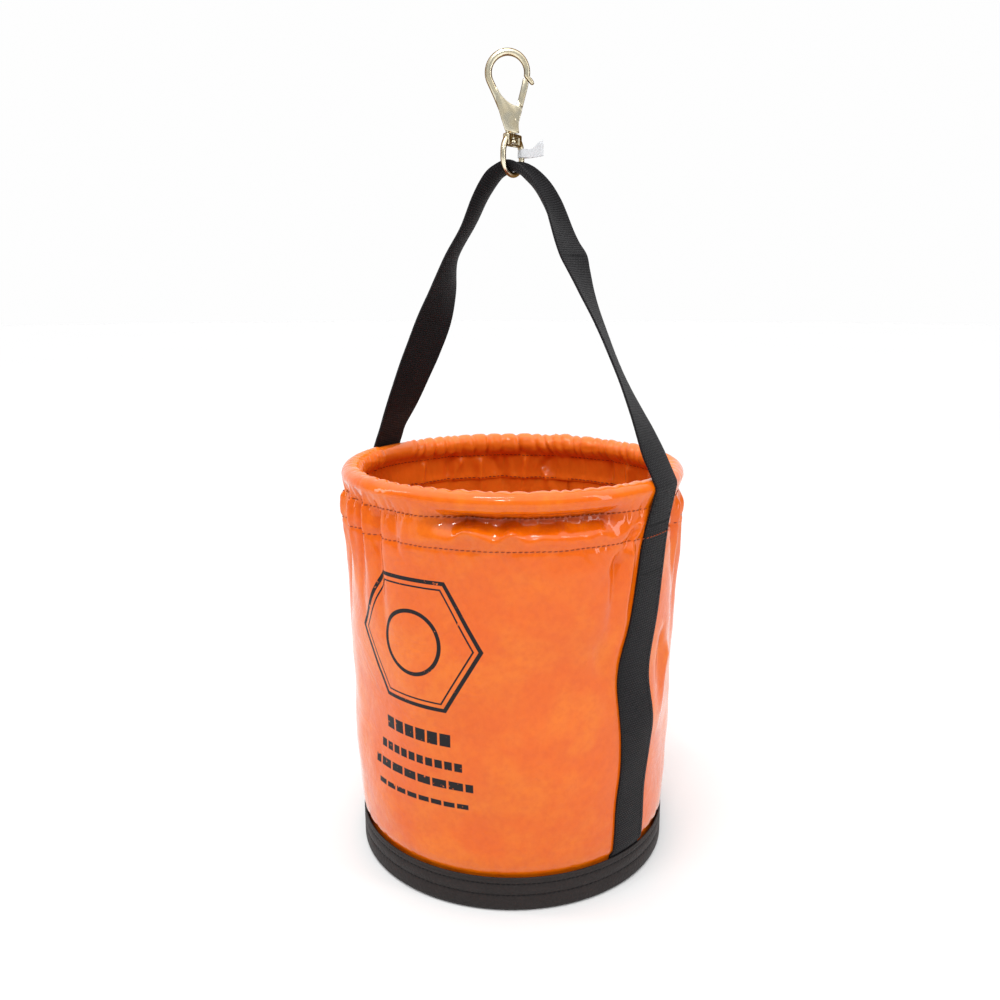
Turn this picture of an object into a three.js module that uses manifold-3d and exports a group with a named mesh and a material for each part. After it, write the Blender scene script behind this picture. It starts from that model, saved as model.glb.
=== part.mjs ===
// Round lift bucket of vinyl-coated fabric, 12 in wide and 15 in deep, on a webbing sling
// with a swivel snap. Millimetres, +Z up, origin at the middle of the base's underside.
// +X and -X are the two sides where the sling is sewn on.

import * as THREE from 'three';
import { mergeVertices } from 'three/addons/utils/BufferGeometryUtils.js';
import Module from 'manifold-3d';

const wasm = await Module();
wasm.setup();

// Driving dimensions.
const gap = 0.3; // clearance between pieces that touch on the real bucket
const segments = 40; // facets round the bucket

const baseRadius = 145.4; // moulded base cup
const baseHeight = 32;
const baseWall = 1.6;
const baseFloor = 3;
const floorThickness = 2;
const cupCorner = 4; // height and width of the cup's rounded bottom edge
const wallThickness = 1.2;
// Outside of the wall, as radius at each height: tucked into the cup, then slowly flaring.
const wallOutline = [
  [7.7, 141], [32.4, 141], [37, 143.4], [42, 145.3], [60, 147], [107, 148.4], [190, 150.2],
  [250, 152], [312, 152.5],
];
const casingThickness = 0.9; // fabric turned over the hoop
const hoopHeight = 357.4; // middle of the hoop at the mouth
const hoopRingRadius = 146;
const casingRadius = 8.7; // outside of the fabric tube round the hoop
const hoopRadius = 7.4;
const casingFrom = -12; // degrees round the hoop over which the fabric lies on it
const casingTo = 240;
const throatHeight = 345; // where the two layers meet below the hoop
const skirtRadius = 152.4; // outer layer below the hoop
const hemRadius = 150; // inside face of the inner layer
const hemHeight = 318; // lower edge of the inner layer
const layerGap = 0.5; // between the two layers below the hoop

const webWidth = 38;
const webThickness = 1.8;
const wallTwist = -11.5; // degrees that the soft wall has turned between mouth and base
const hingeHeight = 386; // where the standing webbing bends as the sling swings over
const hingeX = 142.4;
const hingeClear = 20.2; // the standing ends stay this far from the bending line
const hingeLug = 19.2; // and the swinging ends reach this far
const leanAngle = 27; // degrees past level at which the webbing leaves the hoop

const cutterSize = 400; // wider than the whole bucket

const threadWidth = 0.7;
const tackThickness = 0.6;
const rimRows = [345, 320]; // stitch rows below the hoop
const baseRows = [25.5, 15]; // stitch rows round the base cup
const tackHeights = [329, 289]; // bar tacks on the side webbing
const tackWidth = 26;

const wireRadius = 2.4; // eye
const eyeRadius = 14.1;
const eyeBottom = 614.1; // middle of the eye's bottom wire
const collarBottom = 637.4;
const collarTop = 647.4;
const collarLength = 2 * (eyeRadius + wireRadius);
const collarThickness = 8.4;
const windowBelow = 1.4; // metal left below the collar's window
const windowAbove = 3;
const stemRadius = 2.5;
const headRadius = 4;

const hookAzimuth = 34; // degrees from +X to the plane of the hook
const hookThickness = 6.2;
const bow = { x: -4, z: 697, outer: 19.6, inner: 13.5 };
const pin = { x: 2.6, z: 658, radius: 1.1 };
const gateLean = 13.3; // degrees between the gate and upright
const gateSwing = 28;
const gateLength = 34.5;
const gateWidth = 6.4;
const gateInside = 1.6; // from the gate's middle line to its inner face
const cheekDepth = 4; // and to the edge of its cheeks, which straddle the tongue
const cheekLength = 10;
const channelFloor = 2.8;
const tongueFace = channelFloor - gap;
const tongueThickness = 3.4;

const rad = THREE.MathUtils.degToRad;

const materials = {
  orangeVinyl: finish(0xd8552b, 0.38),
  orangeThread: finish(0xe0632f, 0.8),
  blackMoulding: finish(0x1b1b1d, 0.72),
  blackWebbing: finish(0x18171b, 0.9),
  blackThread: finish(0x0f0f11, 0.8),
  floorBoard: finish(0x2a2a2c, 0.6),
  bronze: finish(0xa98d5a, 0.28, 1),
  springSteel: finish(0x9c9c9c, 0.3, 1),
  tagPaper: finish(0xe4e4ea, 0.75),
};

function finish(color, roughness, metalness = 0) {
  return new THREE.MeshStandardMaterial({ color, roughness, metalness });
}

const bucketOrganizer = new THREE.Group();

function place(name, geometry, material, parent = bucketOrganizer) {
  const mesh = new THREE.Mesh(geometry, materials[material]);
  mesh.name = name;
  parent.add(mesh);
  return mesh;
}

// Solid helpers.

// A closed body through rings of points that have the same even count. The ends are closed
// by strips between opposite points, or the last ring joins the first.
function loft(rings, joined = false) {
  const count = rings[0].length;
  const positions = rings.flat().flatMap((point) => [point.x, point.y, point.z]);
  const index = [];
  const quad = (a, b, c, d) => index.push(a, b, c, a, c, d);
  const last = joined ? rings.length : rings.length - 1;
  for (let ring = 0; ring < last; ring += 1) {
    const here = ring * count;
    const next = ((ring + 1) % rings.length) * count;
    for (let side = 0; side < count; side += 1) {
      const after = (side + 1) % count;
      quad(here + side, here + after, next + after, next + side);
    }
  }
  if (!joined) {
    const end = (rings.length - 1) * count;
    for (let side = 0; side < count / 2 - 1; side += 1) {
      const across = count - 1 - side;
      quad(side, across, across - 1, side + 1);
      quad(end + side, end + side + 1, end + across - 1, end + across);
    }
  }
  const geometry = new THREE.BufferGeometry();
  geometry.setAttribute('position', new THREE.Float32BufferAttribute(positions, 3));
  geometry.setIndex(signedVolume(positions, index) < 0 ? index.reverse() : index);
  geometry.computeVertexNormals();
  return geometry;
}

function signedVolume(positions, index) {
  const corner = (i) => new THREE.Vector3().fromArray(positions, 3 * index[i]);
  let volume = 0;
  for (let i = 0; i < index.length; i += 3) {
    volume += corner(i).dot(corner(i + 1).cross(corner(i + 2)));
  }
  return volume;
}

// Flat webbing or a bar: each row has its middle point, the outward normal, the direction of
// the width, the width, the thickness and the curl of the section, which is one over its
// radius and positive where the edges rise along the normal.
function ribbon(rows, steps = 6) {
  const rings = rows.map((row) => {
    const outer = [];
    const inner = [];
    for (let step = 0; step <= steps; step += 1) {
      const along = row.width * (step / steps - 0.5);
      const turn = along * row.curl;
      const flat = Math.abs(row.curl) < 1e-6;
      const sideways = flat ? along : Math.sin(turn) / row.curl;
      const rise = flat ? 0 : (1 - Math.cos(turn)) / row.curl;
      const middle = row.point.clone()
        .addScaledVector(row.across, sideways)
        .addScaledVector(row.normal, rise);
      const facing = row.normal.clone().multiplyScalar(Math.cos(turn));
      facing.addScaledVector(row.across, -Math.sin(turn));
      outer.push(middle.clone().addScaledVector(facing, row.thickness / 2));
      inner.unshift(middle.clone().addScaledVector(facing, -row.thickness / 2));
    }
    return [...outer, ...inner];
  });
  return loft(rings);
}

function toManifold(geometry) {
  const bare = geometry.clone();
  bare.deleteAttribute('normal');
  bare.deleteAttribute('uv');
  const merged = mergeVertices(bare, 1e-4);
  return new wasm.Manifold(new wasm.Mesh({
    numProp: 3,
    vertProperties: new Float32Array(merged.attributes.position.array),
    triVerts: new Uint32Array(merged.index.array),
  }));
}

function toGeometry(manifold) {
  const mesh = manifold.getMesh();
  const geometry = new THREE.BufferGeometry();
  geometry.setAttribute('position', new THREE.BufferAttribute(mesh.vertProperties, 3));
  geometry.setIndex(new THREE.BufferAttribute(mesh.triVerts, 1));
  geometry.computeVertexNormals();
  return geometry;
}

// A prism of an outline in x and z, centred on the XZ plane.
function plate(shape, thickness) {
  const geometry = new THREE.ExtrudeGeometry(shape, { depth: thickness, bevelEnabled: false });
  geometry.translate(0, 0, -thickness / 2);
  return geometry.rotateX(Math.PI / 2);
}

function cylinderAlongX(radius, height, z) {
  const geometry = new THREE.CylinderGeometry(radius, radius, height, 64);
  return geometry.rotateZ(Math.PI / 2).translate(0, 0, z);
}

function lathe(outline, closed = false) {
  const points = outline.map(([radius, z]) => new THREE.Vector2(radius, z));
  if (closed) {
    points.push(points[0].clone());
  }
  const rings = new THREE.LatheGeometry(points, segments).rotateX(Math.PI / 2);
  const bare = rings.clone();
  bare.deleteAttribute('normal');
  bare.deleteAttribute('uv');
  const merged = mergeVertices(bare, 1e-4);
  const index = [];
  for (let i = 0; i < merged.index.count; i += 3) {
    const [a, b, c] = [0, 1, 2].map((corner) => merged.index.array[i + corner]);
    if (a !== b && b !== c && c !== a) {
      index.push(a, b, c);
    }
  }
  const positions = merged.attributes.position.array;
  merged.setIndex(signedVolume(positions, index) < 0 ? index.reverse() : index);
  merged.computeVertexNormals();
  return merged;
}

function arcPoints(centreX, centreY, radius, from, to, steps) {
  const points = [];
  for (let step = 0; step <= steps; step += 1) {
    const angle = rad(from + ((to - from) * step) / steps);
    points.push([centreX + radius * Math.cos(angle), centreY + radius * Math.sin(angle)]);
  }
  return points;
}

// Height tables.

function wallRadius(z) {
  const upper = wallOutline.findIndex(([height]) => height >= z);
  if (upper < 1) {
    return wallOutline.at(upper)[1]; // below the first height or above the last
  }
  const [lowZ, lowRadius] = wallOutline[upper - 1];
  const [highZ, highRadius] = wallOutline[upper];
  return lowRadius + ((highRadius - lowRadius) * (z - lowZ)) / (highZ - lowZ);
}

// Degrees by which the line of the side webbing has turned at a height.
function twistAt(z) {
  const down = THREE.MathUtils.clamp((hoopHeight - z) / 150, 0, 1);
  return wallTwist * down * (2 - down);
}

// Bucket: cup, floor, wall and rim.

function addBase() {
  place('base_cup', lathe([
    [0, 0],
    ...arcPoints(baseRadius - cupCorner, cupCorner, cupCorner, -90, 0, 3),
    [baseRadius, baseHeight],
    [baseRadius - baseWall, baseHeight],
    [baseRadius - baseWall, baseFloor + gap],
    [baseRadius - baseWall - gap, baseFloor],
    [0, baseFloor],
  ]), 'blackMoulding');

  const webbingZ = baseFloor + gap + webThickness / 2;
  const tuckedRadius = wallOutline[0][1];
  const strip = new THREE.BoxGeometry(2 * (tuckedRadius - 2 * gap), webWidth, webThickness);
  const underFloor = place('webbing_under_floor', strip, 'blackWebbing');
  underFloor.position.z = webbingZ;
  underFloor.rotation.z = rad(wallTwist);

  const floorBottom = webbingZ + webThickness / 2 + gap;
  const floorRadius = tuckedRadius - gap;
  place('floor_panel', lathe([
    [0, floorBottom], [floorRadius, floorBottom], [floorRadius, floorBottom + floorThickness],
    [0, floorBottom + floorThickness],
  ]), 'floorBoard');
}

function addWall() {
  const outside = wallOutline;
  const inside = [...wallOutline].reverse().map(([z, radius]) => [z, radius - wallThickness]);
  const outline = [...outside, ...inside].map(([z, radius]) => [radius, z]);
  place('wall_panel', lathe(outline, true), 'orangeVinyl');
}

function addRim() {
  const lower = wallOutline.at(-1)[0] + gap;
  const inner = casingRadius - casingThickness;
  const hemOuter = hemRadius + casingThickness;
  const outside = [
    [skirtRadius, lower],
    [skirtRadius, throatHeight],
    ...arcPoints(hoopRingRadius, hoopHeight, casingRadius, casingFrom, casingTo, 9),
    [hemRadius, throatHeight],
    [hemRadius, hemHeight],
  ];
  const inside = [
    [hemOuter, hemHeight],
    [hemOuter, throatHeight - layerGap],
    ...arcPoints(hoopRingRadius, hoopHeight, inner, casingTo, casingFrom, 9),
    [hemOuter + layerGap, throatHeight - layerGap],
    [hemOuter + layerGap, lower],
  ];
  place('rim_casing', lathe([...outside, ...inside], true), 'orangeVinyl');
  const hoop = arcPoints(hoopRingRadius, hoopHeight, hoopRadius, 0, 324, 9);
  place('rim_hoop', lathe(hoop, true), 'blackMoulding');
}

// Sling webbing down the sides. Each side is 0 for +X and 180 for -X.

function webbingRow(side, radius, z, lift, thickness = webThickness, width = webWidth) {
  const angle = rad(side + twistAt(z));
  const tilt = rad(lift);
  const outward = new THREE.Vector3(Math.cos(angle), Math.sin(angle), 0);
  return {
    point: outward.clone().multiplyScalar(radius).setZ(z),
    normal: outward.clone().multiplyScalar(Math.cos(tilt)).setZ(Math.sin(tilt)),
    across: new THREE.Vector3(-Math.sin(angle), Math.cos(angle), 0),
    width,
    thickness,
    curl: -1 / radius,
  };
}

const sideWebbingHeights = [
  5.5, 20, 32.4, 37, 42, 51, 60, 83, 107, 135, 162, 190, 210, 230, 250, 270, 290, 311.5,
];

function addSideWebbing(name, side) {
  const proud = gap + webThickness / 2;
  const rows = sideWebbingHeights.map((z) => webbingRow(side, wallRadius(z) + proud, z, 0));
  rows.push(webbingRow(side, skirtRadius + proud, throatHeight - 12, 0));
  rows.push(webbingRow(side, skirtRadius + proud, throatHeight, casingFrom / 2));
  const around = arcPoints(hoopRingRadius, hoopHeight, casingRadius + proud, casingFrom, leanAngle, 5);
  around.forEach(([radius, z], step) => {
    rows.push(webbingRow(side, radius, z, casingFrom + ((leanAngle - casingFrom) * step) / 5));
  });
  const [leaveRadius, leaveZ] = around.at(-1);
  const rise = hingeHeight - leaveZ;
  const lean = Math.tan(rad(leanAngle));
  rows.push(webbingRow(side, leaveRadius - lean * rise, hingeHeight, leanAngle));
  const bendSpace = toManifold(cylinderAlongX(hingeClear, cutterSize, hingeHeight));
  const above = new THREE.BoxGeometry(cutterSize, cutterSize, cutterSize)
    .translate(0, 0, hingeHeight - 4 + cutterSize / 2);
  const cut = toManifold(ribbon(rows)).subtract(bendSpace).subtract(toManifold(above));
  place(name, toGeometry(cut), 'blackWebbing');
}

// Rows of thread, which rise over the side webbing.

function threadRing(radiusAt, z, overWebbing) {
  const halfWeb = THREE.MathUtils.radToDeg(webWidth / 2 / radiusAt);
  const base = radiusAt + 2 * gap + threadWidth / 2;
  const raised = base + (overWebbing ? webThickness + gap : 0);
  const clearOfWeb = halfWeb + 2.6;
  const stations = [];
  for (const side of [0, 180]) {
    const middle = side + twistAt(z);
    for (const offset of [-halfWeb - 0.9, -halfWeb / 2, halfWeb / 2, halfWeb + 0.9]) {
      stations.push([middle + offset, raised]);
    }
    const start = middle + clearOfWeb;
    const span = 180 - 2 * clearOfWeb;
    for (let step = 0; step <= 26; step += 1) {
      stations.push([start + (span * step) / 26, base]);
    }
  }
  return loft(stations.map(([angle, radius]) => {
    const outward = new THREE.Vector3(Math.cos(rad(angle)), Math.sin(rad(angle)), 0);
    const corners = [[-1, -1], [1, -1], [1, 1], [-1, 1]];
    return corners.map(([out, up]) => outward.clone()
      .multiplyScalar(radius + (out * threadWidth) / 2)
      .setZ(z + (up * threadWidth) / 2));
  }), true);
}

function addStitching() {
  place('rim_stitch_upper', threadRing(skirtRadius, rimRows[0], true), 'orangeThread');
  place('rim_stitch_lower', threadRing(skirtRadius, rimRows[1], true), 'orangeThread');
  place('base_stitch_upper', threadRing(baseRadius, baseRows[0], false), 'blackThread');
  place('base_stitch_lower', threadRing(baseRadius, baseRows[1], false), 'blackThread');
  const sides = [['right', 0], ['left', 180]];
  const places = ['upper', 'lower'];
  for (const [sideName, side] of sides) {
    tackHeights.forEach((z, step) => {
      const surface = z > wallOutline.at(-1)[0] ? skirtRadius : wallRadius(z);
      const radius = surface + 2 * gap + webThickness + tackThickness / 2;
      const row = (height) => webbingRow(side, radius, height, 0, tackThickness, tackWidth);
      const tack = ribbon([row(z - tackThickness), row(z + tackThickness)]);
      place(`bar_tack_${places[step]}_${sideName}`, tack, 'blackThread');
    });
  }
}

// Sling webbing above the mouth. Each station is x, z, the turn of the webbing about its own
// length in degrees, and its curl. It goes up from +X, through the eye and down to -X.

const curlScale = 100; // keeps the two numbers on the shape curve alike in size
const eyeSqueeze = 6.4; // width that the webbing loses as it bunches up in the eye
const tight = 1 / 10.5; // curl where the webbing lines the round bottom of the eye
const apexZ = eyeBottom + wireRadius + gap + webThickness / 2;
const slingStations = [
  [152.5, 366.2, 0, -1 / 155], [hingeX, hingeHeight, 0, -1 / 155], [133.5, 403, -6, -0.003],
  [124, 420.5, -13, 0], [108, 450.5, -21, 0], [88, 490, -18, 0], [74.5, 516, -10, 0.002],
  [62, 545, 3, 0.006], [47, 569, -4, 0.018], [37, 585, -5, 0.036], [26, 600, -3, 0.054],
  [16.5, 609, 0, 0.07], [8.5, 614.9, 0, 0.086],
  [0, apexZ, 0, tight],
  [-8.5, 614.9, 2, 0.086], [-16, 610, 8, 0.07], [-28.7, 594.3, 17, 0.05], [-42.4, 572, 21, 0.036],
  [-60, 549, 21, 0.03], [-68.5, 532, 12, 0.022], [-77, 513, -3, 0.01], [-90.5, 486, -20, 0],
  [-103, 461, -22, 0], [-115, 438.5, -18, 0], [-131, 409, -10, -0.003],
  [-hingeX, hingeHeight, -2, -1 / 155], [-152.5, 366.2, 0, -1 / 155],
];

function addSling() {
  const path = new THREE.CatmullRomCurve3(slingStations.map(([x, z]) => new THREE.Vector3(x, 0, z)));
  const shape = new THREE.CatmullRomCurve3(
    slingStations.map(([, , turn, curl]) => new THREE.Vector3(turn, curlScale * curl, 0)),
    false, 'catmullrom', 0.5,
  );
  const rowAt = (t) => {
    const along = path.getTangent(t);
    const level = new THREE.Vector3(0, 1, 0);
    const outward = level.clone().cross(along).normalize();
    const { x: turn, y: curl } = shape.getPoint(t);
    const squeeze = THREE.MathUtils.clamp((curl / curlScale - 0.04) / 0.055, 0, 1);
    return {
      point: path.getPoint(t),
      normal: outward.applyAxisAngle(along, -rad(turn)),
      across: level.applyAxisAngle(along, -rad(turn)),
      width: webWidth - eyeSqueeze * squeeze,
      thickness: webThickness,
      curl: curl / curlScale,
    };
  };
  const count = 2 * (slingStations.length - 1);
  const rows = Array.from({ length: count + 1 }, (_, step) => rowAt(step / count));
  const lug = toManifold(cylinderAlongX(hingeLug, cutterSize, hingeHeight));
  const below = toManifold(new THREE.BoxGeometry(cutterSize, cutterSize, cutterSize)
    .translate(0, 0, hingeHeight - cutterSize / 2));
  const sling = toManifold(ribbon(rows, 8)).subtract(below.subtract(lug));
  place('handle_webbing', toGeometry(sling), 'blackWebbing');

  const spliceAt = 7 / (slingStations.length - 1);
  const tack = [-0.0016, 0.0016].map((shift) => {
    const row = rowAt(spliceAt + shift);
    row.point.addScaledVector(row.normal, webThickness / 2 + gap + tackThickness / 2);
    return { ...row, width: tackWidth, thickness: tackThickness };
  });
  place('splice_tack', ribbon(tack), 'blackThread');
}

// Swivel eye, with the window in its collar where the hook's stem is peened over.

function wire(points, radius, sides) {
  return loft(points.map(({ point, normal }) => {
    const level = new THREE.Vector3(1, 0, 0);
    return Array.from({ length: sides }, (_, side) => {
      const angle = (2 * Math.PI * side) / sides;
      return point.clone()
        .addScaledVector(normal, radius * Math.cos(angle))
        .addScaledVector(level, radius * Math.sin(angle));
    });
  }));
}

function addEye() {
  const centreZ = eyeBottom + eyeRadius;
  const point = (y, z, angle) => ({
    point: new THREE.Vector3(0, y, z),
    normal: new THREE.Vector3(0, Math.cos(rad(angle)), Math.sin(rad(angle))),
  });
  const bend = arcPoints(0, centreZ, eyeRadius, 180, 360, 12)
    .map(([y, z], step) => point(y, z, 180 + 15 * step));
  const limb = collarBottom + 3;
  const path = [point(-eyeRadius, limb, 180), ...bend, point(eyeRadius, limb, 360)];
  const collarHeight = collarTop - collarBottom;
  const collarZ = (collarTop + collarBottom) / 2;
  const collar = new THREE.BoxGeometry(collarThickness, collarLength, collarHeight)
    .translate(0, 0, collarZ);
  const windowHeight = collarHeight - windowBelow - windowAbove;
  const opening = new THREE.BoxGeometry(2 * collarThickness, 2 * headRadius + 2, windowHeight)
    .translate(0, 0, collarBottom + windowBelow + windowHeight / 2);
  const bore = new THREE.CylinderGeometry(stemRadius + gap, stemRadius + gap, 20, 24)
    .rotateX(Math.PI / 2).translate(0, 0, collarTop + 2);
  const eye = toManifold(wire(path, wireRadius, 10))
    .add(toManifold(collar))
    .subtract(toManifold(opening))
    .subtract(toManifold(bore));
  place('swivel_eye', toGeometry(eye), 'bronze');
}

const tagLength = 19;
const tagHeight = 7.4;
const tagLoop = 3.4; // outside radius of the loop round the eye
const tagFlat = 10; // how far from the limb the loop has closed
const tagHalf = 0.5; // half the thickness of the two layers

function addTag() {
  const round = arcPoints(0, 0, tagLoop, 40, 320, 10);
  const end = [[tagFlat, -tagHalf], [tagLength, -tagHalf], [tagLength, tagHalf], [tagFlat, tagHalf]];
  const outline = [...round, ...end];
  const shape = new THREE.Shape(outline.map(([x, y]) => new THREE.Vector2(x, y)));
  const hole = arcPoints(0, 0, wireRadius + gap, 330, 0, 11);
  shape.holes.push(new THREE.Path(hole.map(([x, y]) => new THREE.Vector2(x, y))));
  const geometry = new THREE.ExtrudeGeometry(shape, { depth: tagHeight, bevelEnabled: false });
  const tag = place('tag', geometry, 'tagPaper');
  tag.position.set(0, eyeRadius, collarBottom - 2 * gap - tagHeight);
  tag.rotation.z = rad(hookAzimuth);
}

// Snap hook and gate, drawn in x and z round the swivel axis and then turned to their plane.

function shapeOf(points) {
  return new THREE.Shape(points.map(([x, z]) => new THREE.Vector2(x, z)));
}

function gatePoint(along, outward, swing = 0) {
  const angle = rad(90 - gateLean + swing);
  return [
    pin.x + along * Math.cos(angle) + outward * Math.sin(angle),
    pin.z + along * Math.sin(angle) - outward * Math.cos(angle),
  ];
}

function addHook() {
  const hook = new THREE.Group();
  hook.rotation.z = rad(hookAzimuth);
  bucketOrganizer.add(hook);

  const bottom = collarTop + 2 * gap;
  const outline = [
    [-5.5, bottom],
    [-6.4, 654.5],
    [-21.6, 688.5],
    ...arcPoints(bow.x, bow.z, bow.outer, 206, -4, 18),
    [18, 690.6],
    [14.6, 688.3],
    ...arcPoints(bow.x + 0.2, bow.z + 0.4, bow.inner, -12, 196, 16),
    [-14.6, 688.5],
    [-9.7, 680],
    [-5, 674.2],
    [-1.4, 671.6],
    gatePoint(9, -2.6, gateSwing),
    gatePoint(9, tongueFace, gateSwing),
    gatePoint(0.6, tongueFace, gateSwing),
    gatePoint(0, tongueFace),
    gatePoint(-6.4, tongueFace),
    [5.6, bottom + 2],
    [5.6, bottom],
  ];
  const cheekSpace = [
    gatePoint(0, -cheekDepth - gap, gateSwing),
    gatePoint(cheekLength, -cheekDepth - gap, gateSwing),
    gatePoint(gateLength - 8, -gateInside - 2 * gap, gateSwing),
    gatePoint(gateLength - 8, 8),
    gatePoint(-5, 8),
    gatePoint(-5, 0),
  ];
  const holeGeometry = (radius) => new THREE.CylinderGeometry(radius, radius, 20, 20)
    .translate(pin.x, 0, pin.z);
  const stemTop = bottom + 1;
  const headZ = collarBottom + 3.2;
  const stem = new THREE.CylinderGeometry(stemRadius, stemRadius, stemTop - headZ, 20)
    .rotateX(Math.PI / 2).translate(0, 0, (stemTop + headZ) / 2);
  const head = new THREE.CylinderGeometry(headRadius, headRadius - 1, 3.2, 20)
    .rotateX(Math.PI / 2).translate(0, 0, headZ + 0.4);
  let body = toManifold(plate(shapeOf(outline), hookThickness));
  for (const face of [-1, 1]) {
    const shift = face * (tongueThickness / 2 + 5);
    const cheek = plate(shapeOf(cheekSpace), 10).translate(0, shift, 0);
    const footSpace = new THREE.CylinderGeometry(cheekDepth + 0.8, cheekDepth + 0.8, 10, 24);
    const round = footSpace.translate(pin.x, shift, pin.z);
    body = body.subtract(toManifold(cheek)).subtract(toManifold(round));
  }
  body = body.subtract(toManifold(holeGeometry(pin.radius + gap)))
    .add(toManifold(stem))
    .add(toManifold(head));
  place('snap_hook', toGeometry(body), 'bronze', hook);
  const pinBody = new THREE.CylinderGeometry(pin.radius, pin.radius, gateWidth + 2 * gap, 16)
    .translate(pin.x, 0, pin.z);
  place('gate_pin', pinBody, 'bronze', hook);

  const gateOutline = [
    ...arcPoints(pin.x, pin.z, cheekDepth, 180 - gateLean, 360 - gateLean, 8),
    gatePoint(gateLength - 4, cheekDepth),
    gatePoint(gateLength, 1.4),
    gatePoint(gateLength, -gateInside),
    gatePoint(gateLength - 8, -gateInside),
    gatePoint(cheekLength, -cheekDepth),
  ];
  const channelTop = gateLength - 6;
  const channel = [
    gatePoint(-8, -8),
    gatePoint(-8, channelFloor),
    gatePoint(channelTop, channelFloor),
    gatePoint(channelTop, -8),
  ];
  const gate = toManifold(plate(shapeOf(gateOutline), gateWidth))
    .subtract(toManifold(plate(shapeOf(channel), tongueThickness + 2 * gap)))
    .subtract(toManifold(holeGeometry(pin.radius + gap)));
  place('gate', toGeometry(gate), 'bronze', hook);
  const leaf = [
    gatePoint(12, channelFloor - 1),
    gatePoint(27, channelFloor - 1),
    gatePoint(27, channelFloor - 0.5),
    gatePoint(12, channelFloor - 0.5),
  ];
  place('gate_spring', plate(shapeOf(leaf), tongueThickness - 0.6), 'springSteel', hook);
}

addBase();
addWall();
addRim();
addSideWebbing('side_webbing_right', 0);
addSideWebbing('side_webbing_left', 180);
addStitching();
addSling();
addEye();
addTag();
addHook();

export default bucketOrganizer;
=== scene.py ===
import math
import random

import bmesh
import bpy
from mathutils import Matrix, Vector, noise


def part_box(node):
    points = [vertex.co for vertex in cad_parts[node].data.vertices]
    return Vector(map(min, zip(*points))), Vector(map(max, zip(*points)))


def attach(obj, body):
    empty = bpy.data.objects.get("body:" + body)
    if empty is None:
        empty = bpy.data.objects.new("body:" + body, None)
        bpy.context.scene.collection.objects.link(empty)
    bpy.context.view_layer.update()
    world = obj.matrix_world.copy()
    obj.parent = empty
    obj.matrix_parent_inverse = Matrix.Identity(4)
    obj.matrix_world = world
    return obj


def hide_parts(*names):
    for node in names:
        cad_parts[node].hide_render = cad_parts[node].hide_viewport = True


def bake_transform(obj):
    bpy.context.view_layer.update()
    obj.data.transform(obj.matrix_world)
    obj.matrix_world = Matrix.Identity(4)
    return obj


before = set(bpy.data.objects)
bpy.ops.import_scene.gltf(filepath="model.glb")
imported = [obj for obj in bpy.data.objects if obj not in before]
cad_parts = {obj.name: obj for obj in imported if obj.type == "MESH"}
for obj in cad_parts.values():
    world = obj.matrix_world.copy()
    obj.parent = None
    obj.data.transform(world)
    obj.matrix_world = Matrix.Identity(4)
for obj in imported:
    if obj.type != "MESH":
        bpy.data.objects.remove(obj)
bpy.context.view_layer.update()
mm = 0.001  # sizes below are in millimetres unless they are in a shader


def rad(degrees):
    return math.radians(degrees)


def clamp(value, low=0.0, high=1.0):
    return max(low, min(high, value))


def smooth(value):
    value = clamp(value)
    return value * value * (3 - 2 * value)


def bell(value):
    return math.exp(-value ** 2)


def mix(a, b, share):
    return a + (b - a) * share


def polar(radius, angle, z=0.0):
    return Vector((radius * math.cos(angle), radius * math.sin(angle), z))


def arc(x, z, radius, start, end, steps):
    angles = [rad(mix(start, end, i / steps)) for i in range(steps + 1)]
    return [(x + radius * math.cos(a), z + radius * math.sin(a)) for a in angles]


def lookUp(table, key):
    # straight lines between (key, value) pairs
    for (lowKey, low), (highKey, high) in zip(table, table[1:]):
        if key <= highKey:
            return mix(low, high, clamp((key - lowKey) / (highKey - lowKey)))
    return table[-1][1]


def clampIndex(i, count):
    return max(0, min(count - 1, i))


def spline(rows, t):
    # Catmull-Rom through a list of equal-length tuples, t from 0 to 1
    place = clamp(t) * (len(rows) - 1)
    i = min(int(place), len(rows) - 2)
    u = place - i
    a, b, c, d = (rows[clampIndex(i + k, len(rows))] for k in (-1, 0, 1, 2))
    return [0.5 * (2 * q + (r - p) * u + (2 * p - 5 * q + 4 * r - s) * u * u
                   + (3 * q - p - 3 * r + s) * u ** 3) for p, q, r, s in zip(a, b, c, d)]


def finishMesh(name, bm, material, smoothAngle=None, recalc=False):
    if recalc:
        bmesh.ops.recalc_face_normals(bm, faces=bm.faces)
    mesh = bpy.data.meshes.new(name)
    bm.to_mesh(mesh)
    bm.free()
    mesh.materials.append(material)
    piece = bpy.data.objects.new(name, mesh)
    bpy.context.scene.collection.objects.link(piece)
    for polygon in mesh.polygons:
        polygon.use_smooth = True
    if smoothAngle:
        mesh.set_sharp_from_angle(angle=rad(smoothAngle))
    return piece


def thicken(piece, thick, bevelWidth=0.0):
    # turns a sheet into a slab round its middle surface, and rounds the slab's edges
    slab = piece.modifiers.new("thickness", "SOLIDIFY")
    slab.thickness = thick * mm
    slab.offset = 0
    if bevelWidth:
        bevel = piece.modifiers.new("bevel", "BEVEL")
        bevel.width = bevelWidth * mm
        bevel.segments = 2
        bevel.limit_method = "ANGLE"
        bevel.angle_limit = rad(60)
        bevel.harden_normals = False
    graph = bpy.context.evaluated_depsgraph_get()
    baked = bpy.data.meshes.new_from_object(piece.evaluated_get(graph), depsgraph=graph)
    piece.modifiers.clear()
    piece.data = baked


def edgesAround(verts):
    return {edge for vert in verts for edge in vert.link_edges}


def isLevel(edge):
    # both of its ends are equally far along y
    return abs(edge.verts[0].co.y - edge.verts[1].co.y) < 1e-7


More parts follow.
